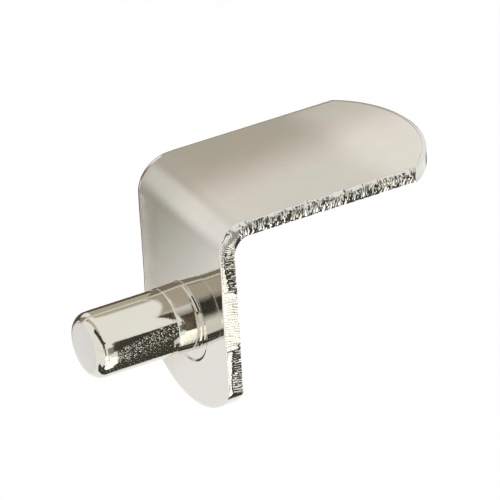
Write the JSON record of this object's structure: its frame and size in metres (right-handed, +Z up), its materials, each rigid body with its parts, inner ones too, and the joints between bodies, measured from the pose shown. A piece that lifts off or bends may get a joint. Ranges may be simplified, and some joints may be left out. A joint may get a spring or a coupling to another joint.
{
  "type": "shelf support pin",
  "caption": "Angled shelf support: a bent flat strip that carries the shelf, with a riveted pin that plugs into a drilled hole in the cabinet side.",
  "frame": {"origin": "on the pin's axis, in the plane of the bracket's wall face", "axes": "+Z up, square to the shelf seat; -X along the pin into the cabinet side; +X out under the shelf; Y across the strip's width"},
  "size_m": [0.0278, 0.0126, 0.0169],
  "materials": {
    "bracket_nickel": "bright nickel plating over stamped steel sheet, with sheared side edges",
    "pin_nickel": "bright nickel plating over turned steel"
  },
  "bodies": {
    "root": {"bracket": "bracket_nickel", "pin": "pin_nickel"}
  },
  "joints": []
}
